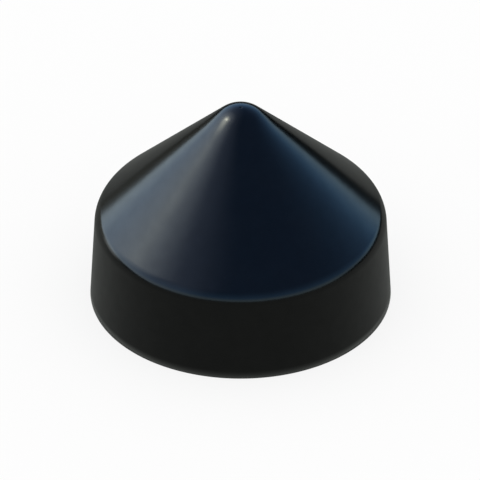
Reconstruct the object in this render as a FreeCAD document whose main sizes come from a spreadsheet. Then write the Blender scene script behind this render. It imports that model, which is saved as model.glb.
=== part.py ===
# Conical cap for a round dock pile, moulded in one piece of black polyethylene.
# Millimetres, +Z up. The origin is the centre of the open foot, which lies in the plane Z = 0.
import FreeCAD, Part
import math
import os
import Sketcher

# Driving sizes: name, value, what it is
SIZES = [
    ("pile_radius", 127.0, "round pile that the cap slips over"),
    ("mouth_gap", 4.5, "room round the pile at the foot of the skirt"),
    ("eave_gap", 0.5, "room round the pile at the height of the eave"),
    ("wall", 3.5, "wall, the same all over"),
    ("skirt_height", 84.5, "foot to the corner where skirt and roof would meet"),
    ("roof_pitch", 45.0, "slope of the roof above level, in degrees"),
    ("eave_round", 20.0, "outer round between skirt and roof"),
    ("tip_round", 30.0, "outer round of the tip"),
    ("foot_chamfer", 1.0, "broken outer edge of the trimmed foot"),
    ("mouth_chamfer", 0.5, "broken inner edge of the trimmed foot"),
    ("gate_radius", 1.7, "sunk mark of the moulding gate, on the tip"),
    ("gate_depth", 0.4, "depth of that mark at its middle"),
]

FOOT_RADIUS = "sizes.pile_radius + sizes.mouth_gap + sizes.wall"
EAVE_RADIUS = "sizes.pile_radius + sizes.eave_gap + sizes.wall"
TIP_HEIGHT = (f"sizes.skirt_height + ({EAVE_RADIUS}) * tan(sizes.roof_pitch * 1 deg)"
              " - sizes.tip_round * (1 / cos(sizes.roof_pitch * 1 deg) - 1)")

# Two heights closer than this are the same height
NEAR = 0.0001

# What a sketch calls its axes, its origin and the points of a line or arc: it counts its axes down from -1
LEVEL_AXIS, UPRIGHT_AXIS = range(-1, -3, -1)
ORIGIN = LEVEL_AXIS
START, END, CENTRE = range(1, 4)


def make_sheet(doc):
    """The spreadsheet that drives every size."""
    sheet = doc.addObject("Spreadsheet::Sheet", "sizes")
    for row, (name, value, note) in enumerate(SIZES, start=1):
        sheet.set(f"A{row}", name)
        sheet.set(f"B{row}", str(value))
        sheet.set(f"C{row}", note)
        sheet.setAlias(f"B{row}", name)
    doc.recompute()
    return sheet


def tip_height(sheet):
    """Height of the rounded tip: TIP_HEIGHT's value."""
    eave = sheet.pile_radius + sheet.eave_gap + sheet.wall
    pitch = math.radians(sheet.roof_pitch)
    return sheet.skirt_height + eave * math.tan(pitch) - sheet.tip_round * (1 / math.cos(pitch) - 1)


def origin_feature(body, role):
    """An origin plane or axis of the body."""
    return next(feature for feature in body.Origin.OriginFeatures if feature.Role == role)


def new_sketch(body, name):
    """An empty sketch on the body's upright XZ plane."""
    sketch = body.newObject("Sketcher::SketchObject", name)
    sketch.AttachmentSupport = (origin_feature(body, "XZ_Plane"), [""])
    sketch.MapMode = "FlatFace"
    return sketch


def arc(centre, radius, first_angle, last_angle):
    """An arc in the sketch's plane."""
    return Part.ArcOfCircle(Part.Circle(centre, FreeCAD.Vector(0, 0, 1), radius), first_angle, last_angle)


def join(sketch, kind, first, first_point, second, second_point):
    """Joins a point of one line or arc to a point of another."""
    sketch.addConstraint(Sketcher.Constraint(kind, first, first_point, second, second_point))


def fillet(sketch, first, second, radius, keep_corner):
    """Rounds the corner of two lines and gives the new arc's number."""
    trim = 1
    rounding = sketch.GeometryCount
    sketch.fillet(first, second, middle(sketch, first), middle(sketch, second), radius, trim, keep_corner)
    return rounding


def middle(sketch, line):
    """The middle of a line of the sketch."""
    return (sketch.getPoint(line, START) + sketch.getPoint(line, END)) / 2


def drive(sketch, constraint, name, expression):
    """Adds a dimension to the sketch and binds it to the sheet."""
    index = sketch.addConstraint(constraint)
    sketch.renameConstraint(index, name)
    sketch.setExpression(f"Constraints.{name}", expression)


def revolve(body, sketch, kind, name):
    """A full turn of the sketch about the upright axis: a Revolution adds, a Groove cuts."""
    turned = body.newObject(kind, name)
    turned.Profile = sketch
    turned.ReferenceAxis = (sketch, ["V_Axis"])
    turned.Angle = 360
    return turned


def ring_edge(shape, height, pick):
    """Name of the level circular edge at a height: pick is max for the outer one, min for the inner."""
    rings = []
    for index, edge in enumerate(shape.Edges, start=1):
        if edge.Degenerated:
            continue
        off_level = max(abs(edge.BoundBox.ZMin - height), abs(edge.BoundBox.ZMax - height))
        if isinstance(edge.Curve, Part.Circle) and off_level < NEAR:
            rings.append((edge.Curve.Radius, f"Edge{index}"))
    return pick(rings)[1]


def add_wall_section(body, sheet):
    """The section of the wall: skirt, roof and tip outside, and the same lines one wall further in."""
    foot = sheet.pile_radius + sheet.mouth_gap + sheet.wall
    eave = sheet.pile_radius + sheet.eave_gap + sheet.wall
    pitch = math.radians(sheet.roof_pitch)
    roof_out = FreeCAD.Vector(math.sin(pitch), math.cos(pitch), 0)
    skirt_out = FreeCAD.Vector(sheet.skirt_height, foot - eave, 0).normalize()
    corner_in = (roof_out + skirt_out) / (1 + roof_out.dot(skirt_out))
    tip_centre = FreeCAD.Vector(0, tip_height(sheet) - sheet.tip_round, 0)
    straight_up = FreeCAD.Vector(0, 1, 0)
    inner_tip_round = sheet.tip_round - sheet.wall

    foot_point = FreeCAD.Vector(foot, 0, 0)
    eave_point = FreeCAD.Vector(eave, sheet.skirt_height, 0)
    tip_point = tip_centre + roof_out * sheet.tip_round
    top_point = tip_centre + straight_up * sheet.tip_round
    inner_top_point = tip_centre + straight_up * inner_tip_round
    inner_tip_point = tip_centre + roof_out * inner_tip_round
    inner_eave_point = eave_point - corner_in * sheet.wall
    mouth_point = FreeCAD.Vector(foot - sheet.wall / skirt_out.x, 0, 0)

    sketch = new_sketch(body, "wall_section")
    rim = sketch.addGeometry(Part.LineSegment(mouth_point, foot_point))
    skirt = sketch.addGeometry(Part.LineSegment(foot_point, eave_point))
    roof = sketch.addGeometry(Part.LineSegment(eave_point, tip_point))
    tip = sketch.addGeometry(arc(tip_centre, sheet.tip_round, math.pi / 2 - pitch, math.pi / 2))
    axis = sketch.addGeometry(Part.LineSegment(top_point, inner_top_point))
    inner_tip = sketch.addGeometry(arc(tip_centre, inner_tip_round, math.pi / 2 - pitch, math.pi / 2))
    inner_roof = sketch.addGeometry(Part.LineSegment(inner_tip_point, inner_eave_point))
    inner_skirt = sketch.addGeometry(Part.LineSegment(inner_eave_point, mouth_point))

    join(sketch, "Coincident", rim, END, skirt, START)
    join(sketch, "Coincident", skirt, END, roof, START)
    join(sketch, "Tangent", roof, END, tip, START)
    join(sketch, "Coincident", tip, END, axis, START)
    join(sketch, "Coincident", axis, END, inner_tip, END)
    join(sketch, "Tangent", inner_tip, START, inner_roof, START)
    join(sketch, "Coincident", inner_roof, END, inner_skirt, START)
    join(sketch, "Coincident", inner_skirt, END, rim, START)
    join(sketch, "Coincident", inner_tip, CENTRE, tip, CENTRE)
    sketch.addConstraint(Sketcher.Constraint("PointOnObject", rim, END, LEVEL_AXIS))
    sketch.addConstraint(Sketcher.Constraint("Horizontal", rim))
    sketch.addConstraint(Sketcher.Constraint("PointOnObject", tip, CENTRE, UPRIGHT_AXIS))
    sketch.addConstraint(Sketcher.Constraint("PointOnObject", tip, END, UPRIGHT_AXIS))
    sketch.addConstraint(Sketcher.Constraint("Vertical", axis))
    sketch.addConstraint(Sketcher.Constraint("Parallel", inner_skirt, skirt))
    drive(sketch, Sketcher.Constraint("DistanceX", ORIGIN, START, rim, END, foot), "foot_radius", FOOT_RADIUS)
    drive(sketch, Sketcher.Constraint("DistanceX", ORIGIN, START, skirt, END, eave), "eave_radius", EAVE_RADIUS)
    drive(sketch, Sketcher.Constraint("DistanceY", ORIGIN, START, skirt, END, sheet.skirt_height),
          "skirt_height", "sizes.skirt_height")
    drive(sketch, Sketcher.Constraint("Angle", roof, math.pi - pitch), "roof_direction",
          "180 deg - sizes.roof_pitch * 1 deg")
    drive(sketch, Sketcher.Constraint("Radius", tip, sheet.tip_round), "tip_round", "sizes.tip_round")
    drive(sketch, Sketcher.Constraint("Radius", inner_tip, inner_tip_round), "inner_tip_round",
          "sizes.tip_round - sizes.wall")

    # The round of the eave keeps its sharp corner, which the height and the radius are measured to
    eave_round = fillet(sketch, skirt, roof, sheet.eave_round, True)
    inner_eave_round = fillet(sketch, inner_roof, inner_skirt, sheet.eave_round - sheet.wall, False)
    join(sketch, "Coincident", inner_eave_round, CENTRE, eave_round, CENTRE)
    drive(sketch, Sketcher.Constraint("Radius", eave_round, sheet.eave_round), "eave_round", "sizes.eave_round")
    drive(sketch, Sketcher.Constraint("Radius", inner_eave_round, sheet.eave_round - sheet.wall),
          "inner_eave_round", "sizes.eave_round - sizes.wall")
    return sketch


def break_edge(body, base, name, edge):
    """Chamfers one edge of the base feature by the size of the same name."""
    chamfer = body.newObject("PartDesign::Chamfer", name)
    chamfer.Base = (base, [edge])
    chamfer.setExpression("Size", f"sizes.{name}")
    return chamfer


def add_gate_section(body, sheet):
    """The section of the shallow round dish that the moulding gate leaves at the middle of the tip."""
    dish_radius = (sheet.gate_radius ** 2 + sheet.gate_depth ** 2) / (2 * sheet.gate_depth)
    dish_turn = math.asin(sheet.gate_radius / dish_radius)
    top_point = FreeCAD.Vector(0, tip_height(sheet), 0)
    rim_point = FreeCAD.Vector(sheet.gate_radius, top_point.y, 0)
    bottom_point = FreeCAD.Vector(0, top_point.y - sheet.gate_depth, 0)
    dish_centre = FreeCAD.Vector(0, bottom_point.y + dish_radius, 0)

    sketch = new_sketch(body, "gate_section")
    dish = sketch.addGeometry(arc(dish_centre, dish_radius, -math.pi / 2, -math.pi / 2 + dish_turn))
    cover = sketch.addGeometry(Part.LineSegment(rim_point, top_point))
    axis = sketch.addGeometry(Part.LineSegment(top_point, bottom_point))

    join(sketch, "Coincident", dish, END, cover, START)
    join(sketch, "Coincident", cover, END, axis, START)
    join(sketch, "Coincident", axis, END, dish, START)
    sketch.addConstraint(Sketcher.Constraint("Horizontal", cover))
    sketch.addConstraint(Sketcher.Constraint("PointOnObject", cover, END, UPRIGHT_AXIS))
    sketch.addConstraint(Sketcher.Constraint("PointOnObject", dish, START, UPRIGHT_AXIS))
    sketch.addConstraint(Sketcher.Constraint("PointOnObject", dish, CENTRE, UPRIGHT_AXIS))
    drive(sketch, Sketcher.Constraint("DistanceY", ORIGIN, START, cover, END, top_point.y), "tip_height", TIP_HEIGHT)
    drive(sketch, Sketcher.Constraint("DistanceX", ORIGIN, START, cover, START, sheet.gate_radius),
          "gate_radius", "sizes.gate_radius")
    drive(sketch, Sketcher.Constraint("DistanceY", axis, END, axis, START, sheet.gate_depth),
          "gate_depth", "sizes.gate_depth")
    return sketch


def make_pile_cap(doc, sheet):
    """The whole cap, as one body."""
    body = doc.addObject("PartDesign::Body", "pile_cap")
    body.Label = "pile_cap"
    body.Placement = FreeCAD.Placement()
    shell = revolve(body, add_wall_section(body, sheet), "PartDesign::Revolution", "shell")
    doc.recompute()
    foot = break_edge(body, shell, "foot_chamfer", ring_edge(shell.Shape, 0, max))
    doc.recompute()
    break_edge(body, foot, "mouth_chamfer", ring_edge(foot.Shape, 0, min))
    doc.recompute()
    revolve(body, add_gate_section(body, sheet), "PartDesign::Groove", "gate_mark")
    doc.recompute()
    return body


def check(doc, bodies):
    """Stops if a feature failed or a body isn't one valid solid."""
    for item in doc.Objects:
        if "Invalid" in item.State or "Error" in item.State:
            raise RuntimeError(f"{item.Label} failed: {item.State}")
    for body in bodies:
        if body.Shape.isNull() or not body.Shape.isValid() or len(body.Shape.Solids) != 1:
            raise RuntimeError(f"{body.Label} isn't one valid solid")


def main():
    doc = FreeCAD.newDocument("pile_cap_model")
    sheet = make_sheet(doc)
    bodies = [make_pile_cap(doc, sheet)]
    doc.recompute()
    check(doc, bodies)
    os.makedirs("parts", exist_ok=True)
    for body in bodies:
        body.Shape.exportStep(f"parts/{body.Label}.step")
        box = body.Shape.optimalBoundingBox()
        print(body.Label, "size", round(box.XLength, 2), round(box.YLength, 2), round(box.ZLength, 2),
              "volume", round(body.Shape.Volume, 1))


main()
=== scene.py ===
# Looks of the pile cap: one black polyethylene moulding on a pale studio floor.
# Metres and +Z up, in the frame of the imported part. Angles among the named values are in degrees.
import math

import bmesh
import bpy
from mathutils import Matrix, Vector


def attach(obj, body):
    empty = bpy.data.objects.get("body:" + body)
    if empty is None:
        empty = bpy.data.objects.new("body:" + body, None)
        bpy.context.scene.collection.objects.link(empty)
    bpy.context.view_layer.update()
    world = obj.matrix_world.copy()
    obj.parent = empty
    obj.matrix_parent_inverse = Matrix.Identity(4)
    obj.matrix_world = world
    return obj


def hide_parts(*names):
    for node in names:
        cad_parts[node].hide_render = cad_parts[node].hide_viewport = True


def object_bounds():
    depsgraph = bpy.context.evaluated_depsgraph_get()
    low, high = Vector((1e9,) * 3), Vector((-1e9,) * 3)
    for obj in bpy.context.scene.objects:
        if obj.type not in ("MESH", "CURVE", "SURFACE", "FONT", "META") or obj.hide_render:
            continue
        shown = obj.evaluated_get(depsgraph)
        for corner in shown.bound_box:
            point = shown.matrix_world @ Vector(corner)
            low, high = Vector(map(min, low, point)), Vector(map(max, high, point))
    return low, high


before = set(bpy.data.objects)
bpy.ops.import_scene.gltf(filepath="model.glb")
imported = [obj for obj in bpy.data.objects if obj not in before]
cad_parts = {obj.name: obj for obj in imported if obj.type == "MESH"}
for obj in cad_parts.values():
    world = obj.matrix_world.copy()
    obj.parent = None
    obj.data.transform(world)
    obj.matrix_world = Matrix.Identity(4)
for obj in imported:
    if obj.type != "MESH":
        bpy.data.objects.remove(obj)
cad_low, cad_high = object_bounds()

# The photograph's frame in its own pixels: its scale, and where it shows the axis at one height
IMAGE_SIDE = 480
PIXELS_PER_METRE = 1113.4
AXIS_PIXEL = (240.59, 230.78)
AXIS_POINT_HEIGHT = 0.0675
CAMERA_ELEVATION = 35.264
CAMERA_DISTANCE = 1.5

# Sizes of the moulding that its box doesn't give, with the foot's edge as crisp as the photograph shows it
WALL = 0.0035
SKIRT_HEIGHT = 0.0845
ROOF_PITCH = 45.0
EAVE_ROUND = 0.020
TIP_ROUND = 0.030
FOOT_CHAMFER = 0.0003
MOUTH_CHAMFER = 0.0005
GATE_RADIUS = 0.0017
GATE_DEPTH = 0.0004

# The lip of the foot: down to the floor, its shading turns by this angle and its gloss grows by this factor
LIP_HEIGHT = 0.0075
LIP_TURN = 30.0
LIP_GLOSS = 2.45

# The tip's shading eases into the roof's over this length, from an angle this much flatter than the roof
TIP_EASE_LENGTH = 0.0204
TIP_EASE_TURN = 6.0

# Steps of the mesh round the axis, and along the stretches of the section
SEGMENTS = 256
EDGE_STEPS = 2
LIP_STEPS = 7
SKIRT_STEPS = 10
EAVE_STEPS = 18
ROOF_STEPS = 14
EASE_LINE_STEPS = 8
EASE_ROUND_STEPS = 3
TIP_STEPS = 18
GATE_STEPS = 6
INNER_TIP_STEPS = 16
INNER_ROOF_STEPS = 16
INNER_EAVE_STEPS = 14

# A point nearer to the axis than this lies on it
AXIS_GAP = 1e-6

# The plastic's matt body, whose colour is a little uneven: the inside, which no photograph shows, is paler
BODY_DARK = (0.0009, 0.0010, 0.0009)
BODY_PALE = (0.0013, 0.0014, 0.0013)
INSIDE_BODY = (0.019, 0.020, 0.021)
BODY_ROUGHNESS = (0.42, 0.55)

# Its thin glossy skin, which is rubbed thinner in places
SKIN_IOR = 1.5
SKIN_ROUGHNESS = 0.17
SKIN_THIN = 0.186
SKIN_FULL = 0.200

# The share of the gloss left on the gate's mark, and between which shares of the mark's radius it comes back
GATE_GLOSS = 0.6
GATE_FADE = (0.7, 1.1)

# How the gloss rises and then falls as the view turns from square (0) to level with it (1): ends and levels
GLOSS_RISE = (0.10, 0.50, 0.94, 1.17)
GLOSS_FALL = (0.52, 0.90, 1.0, 0.71)

# Noise on the plastic, as patches per metre and levels of detail, and the part of its range that counts
CLOUDS = (35, 3)
RUBBING = (90, 4)
MATTING = (260, 3)
WAVES = (45, 1)
GRAIN = (700, 2)
NOISE_RANGE = (0.3, 0.7)

# How deep the waves and the grain go
WAVE_DEPTH = 0.00002
GRAIN_DEPTH = 0.000002

# The floor: its colour, what a gloss shows of it, and how much of it is plain white to the camera
FLOOR_RADIUS = 1.10
FLOOR_COLOUR = (0.95, 0.95, 0.95)
FLOOR_GLINT = (0.95, 1.0, 0.955)
WHITE_SHARE = 0.8

# The studio dome that the skin mirrors: a clear colour, and hazes that thin out up to a height
DOME_COLOUR = (0.41, 0.84, 1.78)
HAZES = (
    (49.6, (0.74, 1.80, 3.08)),
    (16.0, (2.02, 1.65, 0.0)),
)

# Its soft glows: azimuth from the camera's side towards +X, elevation, radius and colour
GLOWS = (
    (250.0, 45.6, 4.9, (77, 75, 61)),
    (252.6, 43.5, 15.6, (20.8, 20.9, 16.8)),
    (253.8, 41.9, 34.2, (5.1, 5.6, 5.8)),
    (257.9, 22.2, 76.6, (2.25, 2.6, 3.4)),
    (242.2, 9.6, 52.3, (2.33, 2.65, 2.45)),
    (178.9, 7.2, 33.2, (0.39, 0.59, 0.99)),
    (121.7, -3.2, 23.9, (0.47, 1.15, 1.73)),
    (140.7, 31.5, 28.4, (0.15, 0.21, 0.32)),
)

# The dome ends in a soft skyline, lower in front than at the back, and only these glows reach below it
SKYLINE_FRONT = -2.8
SKYLINE_BACK = 2.9
SKYLINE_TURN = (-0.45, 0.10)
SKYLINE_SOFTNESS = 0.005
LOW_GLOWS = (
    (246.9, -0.9, 13.7, (3.4, 3.7, 3.8)),
    (235.6, -11.1, 34.4, (1.19, 1.16, 0.92)),
)

# The plain white light on all that isn't glossy, which is the backdrop too
PLAIN_LEVEL = 1.0


class Nodes:
    """Short ways to add and join the nodes of one node tree."""

    def __init__(self, owner):
        owner.use_nodes = True
        self.tree = owner.node_tree

    def add(self, kind, inputs=None, **settings):
        """A node of a kind with its settings, and its inputs by name or number."""
        node = self.tree.nodes.new("ShaderNode" + kind)
        for name, value in settings.items():
            setattr(node, name, value)
        for name, value in (inputs or {}).items():
            self.put(value, node.inputs[name])
        return node

    def put(self, value, socket):
        """Link an output to a socket, or write a plain value on it."""
        if isinstance(value, bpy.types.NodeSocket):
            self.tree.links.new(value, socket)
        else:
            socket.default_value = value

    def maths(self, operation, first, second):
        return self.add("Math", {0: first, 1: second}, operation=operation).outputs[0]

    def vectors(self, operation, first, second):
        return self.add("VectorMath", {0: first, 1: second}, operation=operation).outputs["Vector"]

    def scaled(self, vector, factor):
        return self.add("VectorMath", {0: vector, "Scale": factor}, operation="SCALE").outputs["Vector"]

    def dot(self, first, second):
        """The dot product of two vectors, which says how far they lean the same way."""
        return self.add("VectorMath", {0: first, 1: second}, operation="DOT_PRODUCT").outputs["Value"]

    def ramp(self, value, low, high, at_low=0.0, at_high=1.0):
        """A smooth change from one level to another while the value goes from low to high."""
        limits = {"Value": value, "From Min": low, "From Max": high, "To Min": at_low, "To Max": at_high}
        return self.add("MapRange", limits, interpolation_type="SMOOTHSTEP").outputs["Result"]

    def noise(self, place, pattern, at_low=0.0, at_high=1.0):
        """Soft patches of a scale and detail between two levels."""
        scale, detail = pattern
        noise = self.add("TexNoise", {"Vector": place, "Scale": scale, "Detail": detail}).outputs["Fac"]
        return self.ramp(noise, *NOISE_RANGE, at_low, at_high)

    def mirrored(self):
        """1 for what a gloss or a glass shows, and 0 for the camera's own view and for matt surfaces."""
        rays = self.add("LightPath").outputs
        return self.maths("MAXIMUM", rays["Is Glossy Ray"], rays["Is Transmission Ray"])

    def straight(self):
        """1 for what the camera sees straight."""
        return self.add("LightPath").outputs["Is Camera Ray"]

    def mixed(self, factor, first, second):
        return self.add("MixShader", {0: factor, 1: first, 2: second}).outputs[0]


def turned(angle):
    """A unit direction in the section, as radius and height, by its angle above level in radians."""
    return Vector((math.cos(angle), math.sin(angle)))


def line(start, end, steps, start_normal, end_normal=None):
    """A straight stretch of the section as (point, normal) pairs, with normals that may turn along it."""
    end_normal = end_normal or start_normal
    shares = [step / steps for step in range(steps + 1)]
    return [(start.lerp(end, share), start_normal.lerp(end_normal, share).normalized()) for share in shares]


def bend(centre, radius, first, last, steps, side=1):
    """A round stretch of the section between two angles: side is -1 where the wall lies outside it."""
    angles = [first + (last - first) * step / steps for step in range(steps + 1)]
    return [(centre + radius * turned(angle), side * turned(angle)) for angle in angles]


def eased(stretch, base, first, last):
    """A stretch of the tip's ease, between two distances from its upper end, shaded down to a base angle."""
    turn = math.radians(TIP_EASE_TURN)
    shaded = []
    for step, (point, _) in enumerate(stretch):
        distance = first + (last - first) * step / (len(stretch) - 1)
        shaded.append((point, turned(base + turn * (1 - distance / TIP_EASE_LENGTH) ** 2)))
    return shaded


class Profile:
    """The section of the wall, from half its width and the height of its tip."""

    def __init__(self, half_width, tip_height):
        pitch = math.radians(ROOF_PITCH)
        eave_radius = (tip_height - SKIRT_HEIGHT + TIP_ROUND * (1 / math.cos(pitch) - 1)) / math.tan(pitch)
        self.tip_height = tip_height
        self.lean = (half_width - eave_radius) / (SKIRT_HEIGHT - FOOT_CHAMFER)
        self.foot_radius = eave_radius + self.lean * SKIRT_HEIGHT
        self.draft = math.atan(self.lean)
        self.roof_angle = math.pi / 2 - pitch
        self.skirt_out = turned(self.draft)
        self.roof_out = turned(self.roof_angle)
        self.down_roof = Vector((math.cos(pitch), -math.sin(pitch)))
        both_out = self.skirt_out + self.roof_out
        to_corner = EAVE_ROUND * both_out / (1 + self.skirt_out.dot(self.roof_out))
        self.eave_centre = self.on_skirt(SKIRT_HEIGHT) - to_corner
        self.tip_centre = Vector((0, tip_height - TIP_ROUND))
        self.foot_edge = Vector((self.foot_radius - FOOT_CHAMFER, 0))

    def on_skirt(self, height):
        """The point of the skirt's outside at a height."""
        return Vector((self.foot_radius - self.lean * height, height))

    def skirt(self):
        """The broken edge of the foot, the lip and the skirt."""
        lip_foot, lip_top = self.on_skirt(FOOT_CHAMFER), self.on_skirt(LIP_HEIGHT)
        lip_turn = math.radians(LIP_TURN) * (1 - FOOT_CHAMFER / LIP_HEIGHT)
        eave_foot = self.eave_centre + EAVE_ROUND * self.skirt_out
        return [
            line(self.foot_edge, lip_foot, EDGE_STEPS, Vector((1, -1)).normalized()),
            line(lip_foot, lip_top, LIP_STEPS, turned(self.draft - lip_turn), self.skirt_out),
            line(lip_top, eave_foot, SKIRT_STEPS, self.skirt_out),
        ]

    def eave(self):
        """The round between the skirt and the roof."""
        return bend(self.eave_centre, EAVE_ROUND, self.draft, self.roof_angle, EAVE_STEPS)

    def roof_and_tip(self):
        """The roof and the tip up to the gate's mark, with shading that eases from one into the other."""
        ease_turn = math.radians(TIP_EASE_TURN)
        ease_angle = self.roof_angle + ease_turn
        round_ease = TIP_ROUND * ease_turn
        roof_foot = self.eave_centre + EAVE_ROUND * self.roof_out
        roof_top = self.tip_centre + TIP_ROUND * self.roof_out
        ease_foot = roof_top + (TIP_EASE_LENGTH - round_ease) * self.down_roof
        ease_line = line(ease_foot, roof_top, EASE_LINE_STEPS, self.roof_out)
        ease_round = bend(self.tip_centre, TIP_ROUND, self.roof_angle, ease_angle, EASE_ROUND_STEPS)
        gate_edge = math.acos(GATE_RADIUS / TIP_ROUND)
        return [
            line(roof_foot, ease_foot, ROOF_STEPS, self.roof_out),
            eased(ease_line, self.roof_angle, TIP_EASE_LENGTH, round_ease),
            eased(ease_round, self.roof_angle, round_ease, 0),
            bend(self.tip_centre, TIP_ROUND, ease_angle, gate_edge, TIP_STEPS),
        ]

    def gate_mark(self):
        """The shallow dish that the moulding's gate leaves on the tip."""
        dish_radius = (GATE_RADIUS ** 2 + GATE_DEPTH ** 2) / (2 * GATE_DEPTH)
        dish_centre = Vector((0, self.tip_height - GATE_DEPTH + dish_radius))
        dish_edge = math.asin(GATE_RADIUS / dish_radius) - math.pi / 2
        return bend(dish_centre, dish_radius, dish_edge, -math.pi / 2, GATE_STEPS, side=-1)

    def outside(self):
        """The stretches up the outside, from the foot to the axis."""
        return [*self.skirt(), self.eave(), *self.roof_and_tip(), self.gate_mark()]

    def inside(self):
        """The stretches down the inside, from the axis round the mouth to the foot."""
        inner_eave, inner_tip = EAVE_ROUND - WALL, TIP_ROUND - WALL
        roof_top = self.tip_centre + inner_tip * self.roof_out
        roof_foot = self.eave_centre + inner_eave * self.roof_out
        skirt_top = self.eave_centre + inner_eave * self.skirt_out
        mouth_radius = self.foot_radius - WALL / self.skirt_out.x
        mouth_top = Vector((mouth_radius - self.lean * MOUTH_CHAMFER, MOUTH_CHAMFER))
        mouth_edge = Vector((mouth_radius + MOUTH_CHAMFER, 0))
        return [
            bend(self.tip_centre, inner_tip, math.pi / 2, self.roof_angle, INNER_TIP_STEPS, side=-1),
            line(roof_top, roof_foot, INNER_ROOF_STEPS, -self.roof_out),
            bend(self.eave_centre, inner_eave, self.roof_angle, self.draft, INNER_EAVE_STEPS, side=-1),
            line(skirt_top, mouth_top, SKIRT_STEPS, -self.skirt_out),
            line(mouth_top, mouth_edge, 1, Vector((-1, -1)).normalized()),
            line(mouth_edge, self.foot_edge, EDGE_STEPS, Vector((0, -1))),
        ]


def numbered(chains):
    """The section's points, each once, and its steps as (start, normal, end, normal) by point number."""
    points, steps = [], []
    for chain in chains:
        points.append(chain[0][0][0])
        for stretch in chain:
            for (_, start_normal), (end, end_normal) in zip(stretch, stretch[1:]):
                steps.append((len(points) - 1, start_normal, len(points), end_normal))
                points.append(end)
    points.pop()
    return points, [(start, first, end % len(points), second) for start, first, end, second in steps]


def full_turn():
    """The angles of the mesh's columns round the axis."""
    return [2 * math.pi * step / SEGMENTS for step in range(SEGMENTS)]


def around(flat, turn):
    """A point or a normal of the section, swung round the axis."""
    return flat.x * math.sin(turn), -flat.x * math.cos(turn), flat.y


def finished(work, name):
    """An object in the scene with the mesh that the work holds."""
    mesh = bpy.data.meshes.new(name)
    work.to_mesh(mesh)
    work.free()
    made = bpy.data.objects.new(name, mesh)
    bpy.context.scene.collection.objects.link(made)
    return made


def lathe(name, chains):
    """A full turn of the section about the axis, as a mesh that keeps the section's own normals."""
    work = bmesh.new()
    turns = full_turn()
    corner_normals = []

    def ring(point):
        """The vertices of one turn: the same vertex all round where the point lies on the axis."""
        if point.x < AXIS_GAP:
            return [work.verts.new((0, 0, point.y))] * SEGMENTS
        return [work.verts.new(around(point, turn)) for turn in turns]

    points, steps = numbered(chains)
    rings = [ring(point) for point in points]
    for start, start_normal, end, end_normal in steps:
        for step, turn in enumerate(turns):
            after = (step + 1) % SEGMENTS
            corners = [
                (rings[start][step], start_normal, turn),
                (rings[start][after], start_normal, turns[after]),
                (rings[end][after], end_normal, turns[after]),
                (rings[end][step], end_normal, turn),
            ]
            pairs = zip(corners[-1:] + corners[:-1], corners)
            corners = [corner for last, corner in pairs if corner[0] is not last[0]]
            work.faces.new([vert for vert, _, _ in corners]).smooth = True
            corner_normals.extend(around(normal, angle) for _, normal, angle in corners)
    piece = finished(work, name)
    piece.data.normals_split_custom_set(corner_normals)
    return piece


def body_colour(nodes, place, normal):
    """Deep black, a little cloudy, and paler inside, where the normal points back to the tip's centre."""
    clouds = nodes.noise(place, CLOUDS)
    spread = tuple(pale - dark for pale, dark in zip(BODY_PALE, BODY_DARK))
    outside = nodes.vectors("ADD", nodes.scaled(spread, clouds), BODY_DARK)
    from_tip = nodes.vectors("SUBTRACT", place, (0, 0, cad_high.z - TIP_ROUND))
    inside = nodes.maths("LESS_THAN", nodes.dot(normal, from_tip), 0)
    return nodes.vectors("ADD", outside, nodes.scaled(INSIDE_BODY, inside))


def skin_weight(nodes, place):
    """The skin's gloss: uneven, more at the lip, less on the gate's mark, and changing with the slant."""
    rubbing = nodes.noise(place, RUBBING, SKIN_FULL, SKIN_THIN)
    height = nodes.add("SeparateXYZ", {"Vector": place}).outputs["Z"]
    lip_limits = {"Value": height, "From Min": 0, "From Max": LIP_HEIGHT, "To Min": LIP_GLOSS, "To Max": 1}
    lip = nodes.add("MapRange", lip_limits).outputs["Result"]
    across = nodes.vectors("MULTIPLY", place, (1, 1, 0))
    reach = nodes.add("VectorMath", {0: across}, operation="LENGTH").outputs["Value"]
    fade_start, fade_end = (share * GATE_RADIUS for share in GATE_FADE)
    gate = nodes.ramp(reach, fade_start, fade_end, GATE_GLOSS, 1)
    facing = nodes.add("LayerWeight").outputs["Facing"]
    slant = nodes.maths("MULTIPLY", nodes.ramp(facing, *GLOSS_RISE), nodes.ramp(facing, *GLOSS_FALL))
    uneven = nodes.maths("MULTIPLY", rubbing, lip)
    return nodes.maths("MULTIPLY", uneven, nodes.maths("MULTIPLY", gate, slant))


def moulded_relief(nodes, place):
    """A normal with the faint waves and the fine grain of a moulding."""
    waves = nodes.noise(place, WAVES, 0, WAVE_DEPTH)
    grain = nodes.noise(place, GRAIN, 0, GRAIN_DEPTH)
    return nodes.add("Bump", {"Height": nodes.maths("ADD", waves, grain), "Distance": 1.0}).outputs["Normal"]


def black_polyethylene():
    """Black plastic: a matt body under a thin glossy skin, both following one relief."""
    material = bpy.data.materials.new("black_polyethylene")
    nodes = Nodes(material)
    coordinates = nodes.add("TexCoord").outputs
    place = coordinates["Object"]
    relief = moulded_relief(nodes, place)
    shader = nodes.tree.nodes["Principled BSDF"]
    nodes.put(body_colour(nodes, place, coordinates["Normal"]), shader.inputs["Base Color"])
    nodes.put(nodes.noise(place, MATTING, *BODY_ROUGHNESS), shader.inputs["Roughness"])
    nodes.put(relief, shader.inputs["Normal"])
    nodes.put(skin_weight(nodes, place), shader.inputs["Coat Weight"])
    nodes.put(relief, shader.inputs["Coat Normal"])
    shader.inputs["Specular IOR Level"].default_value = 0.0
    shader.inputs["Coat Roughness"].default_value = SKIN_ROUGHNESS
    shader.inputs["Coat IOR"].default_value = SKIN_IOR
    return material


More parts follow.
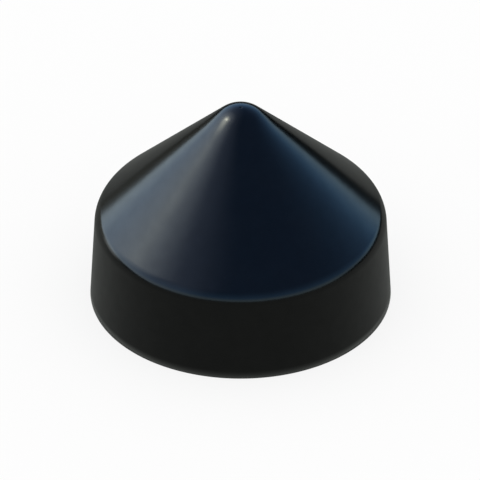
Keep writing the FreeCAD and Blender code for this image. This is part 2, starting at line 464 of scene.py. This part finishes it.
def floor_material():
    """Pale floor: plain white in a gloss, mostly white to the camera over its shadow, and open from below."""
    material = bpy.data.materials.new("pale_floor")
    nodes = Nodes(material)
    matt = nodes.add("BsdfDiffuse", {"Color": (*FLOOR_COLOUR, 1)}).outputs[0]
    tint = nodes.scaled(tuple(level - 1 for level in FLOOR_GLINT), nodes.mirrored())
    white = nodes.add("Emission", {"Color": nodes.vectors("ADD", tint, (1, 1, 1))}).outputs[0]
    clear = nodes.add("BsdfTransparent").outputs[0]
    share = nodes.maths("MAXIMUM", nodes.mirrored(), nodes.maths("MULTIPLY", nodes.straight(), WHITE_SHARE))
    below = nodes.add("NewGeometry").outputs["Backfacing"]
    surface = nodes.mixed(below, nodes.mixed(share, matt, white), clear)
    nodes.put(surface, nodes.tree.nodes["Material Output"].inputs["Surface"])
    return material


def add_floor():
    """A round floor that is open under the cap, so that light from below reaches the inside."""
    work = bmesh.new()
    inner, outer = (
        [work.verts.new(around(Vector((radius, 0)), turn)) for turn in full_turn()]
        for radius in (cad_high.x - WALL / 2, FLOOR_RADIUS)
    )
    for step in range(SEGMENTS):
        after = (step + 1) % SEGMENTS
        work.faces.new((inner[step], outer[step], outer[after], inner[after]))
    floor = finished(work, "studio_floor")
    floor.data.materials.append(floor_material())


def direction_of(azimuth, elevation):
    """A unit direction by its azimuth from the camera's side towards +X and its elevation."""
    a, e = math.radians(azimuth), math.radians(elevation)
    return Vector((math.cos(e) * math.sin(a), -math.cos(e) * math.cos(a), math.sin(e)))


def rise(elevation):
    """The height of a unit direction at an elevation."""
    return math.sin(math.radians(elevation))


def with_glow(nodes, dome, direction, azimuth, elevation, radius, colour):
    """The dome with one more soft glow, which fades out at its radius."""
    lean = nodes.dot(direction, direction_of(azimuth, elevation))
    glow = nodes.ramp(lean, math.cos(math.radians(radius)), 1)
    return nodes.vectors("ADD", dome, nodes.scaled(colour, glow))


def set_world():
    """Plain white light all round, and a soft studio dome for what a gloss mirrors."""
    world = bpy.data.worlds.new("studio")
    bpy.context.scene.world = world
    nodes = Nodes(world)
    direction = nodes.add("TexCoord").outputs["Generated"]
    height = nodes.dot(direction, (0, 0, 1))
    dome = DOME_COLOUR
    for top, colour in HAZES:
        dome = nodes.vectors("ADD", dome, nodes.scaled(colour, nodes.ramp(height, 0, rise(top), 1, 0)))
    for glow in GLOWS:
        dome = with_glow(nodes, dome, direction, *glow)
    backwards = nodes.dot(direction, (0, 1, 0))
    skyline = nodes.ramp(backwards, *SKYLINE_TURN, rise(SKYLINE_FRONT), rise(SKYLINE_BACK))
    dome = nodes.scaled(dome, nodes.ramp(nodes.maths("SUBTRACT", height, skyline), 0, SKYLINE_SOFTNESS))
    for glow in LOW_GLOWS:
        dome = with_glow(nodes, dome, direction, *glow)
    plain = nodes.add("Background", {"Strength": PLAIN_LEVEL, "Color": (1, 1, 1, 1)}).outputs[0]
    studio = nodes.add("Background", {"Color": dome}).outputs[0]
    surface = nodes.mixed(nodes.mirrored(), plain, studio)
    nodes.put(surface, nodes.tree.nodes["World Output"].inputs["Surface"])


def set_camera():
    """A parallel view from the front and above, framed as the photograph is."""
    elevation = math.radians(CAMERA_ELEVATION)
    back = direction_of(0, CAMERA_ELEVATION)
    side_shift = (IMAGE_SIDE / 2 - AXIS_PIXEL[0]) / PIXELS_PER_METRE
    up_shift = (IMAGE_SIDE / 2 - AXIS_PIXEL[1]) / PIXELS_PER_METRE
    target = Vector((side_shift, 0, AXIS_POINT_HEIGHT - up_shift / math.cos(elevation)))
    data = bpy.data.cameras.new("camera")
    data.type = "ORTHO"
    data.ortho_scale = IMAGE_SIDE / PIXELS_PER_METRE
    camera = bpy.data.objects.new("camera", data)
    camera.location = target + back * CAMERA_DISTANCE
    camera.rotation_euler = (-back).to_track_quat("-Z", "Y").to_euler()
    bpy.context.scene.collection.objects.link(camera)
    bpy.context.scene.camera = camera


def add_cap():
    """The moulding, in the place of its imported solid."""
    profile = Profile(cad_high.x, cad_high.z)
    shell = lathe("cap_shell", (profile.outside(), profile.inside()))
    shell.data.materials.append(black_polyethylene())
    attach(shell, "root")
    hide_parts("pile_cap")


add_cap()
add_floor()
set_world()
set_camera()
bpy.context.scene.view_settings.view_transform = "Standard"
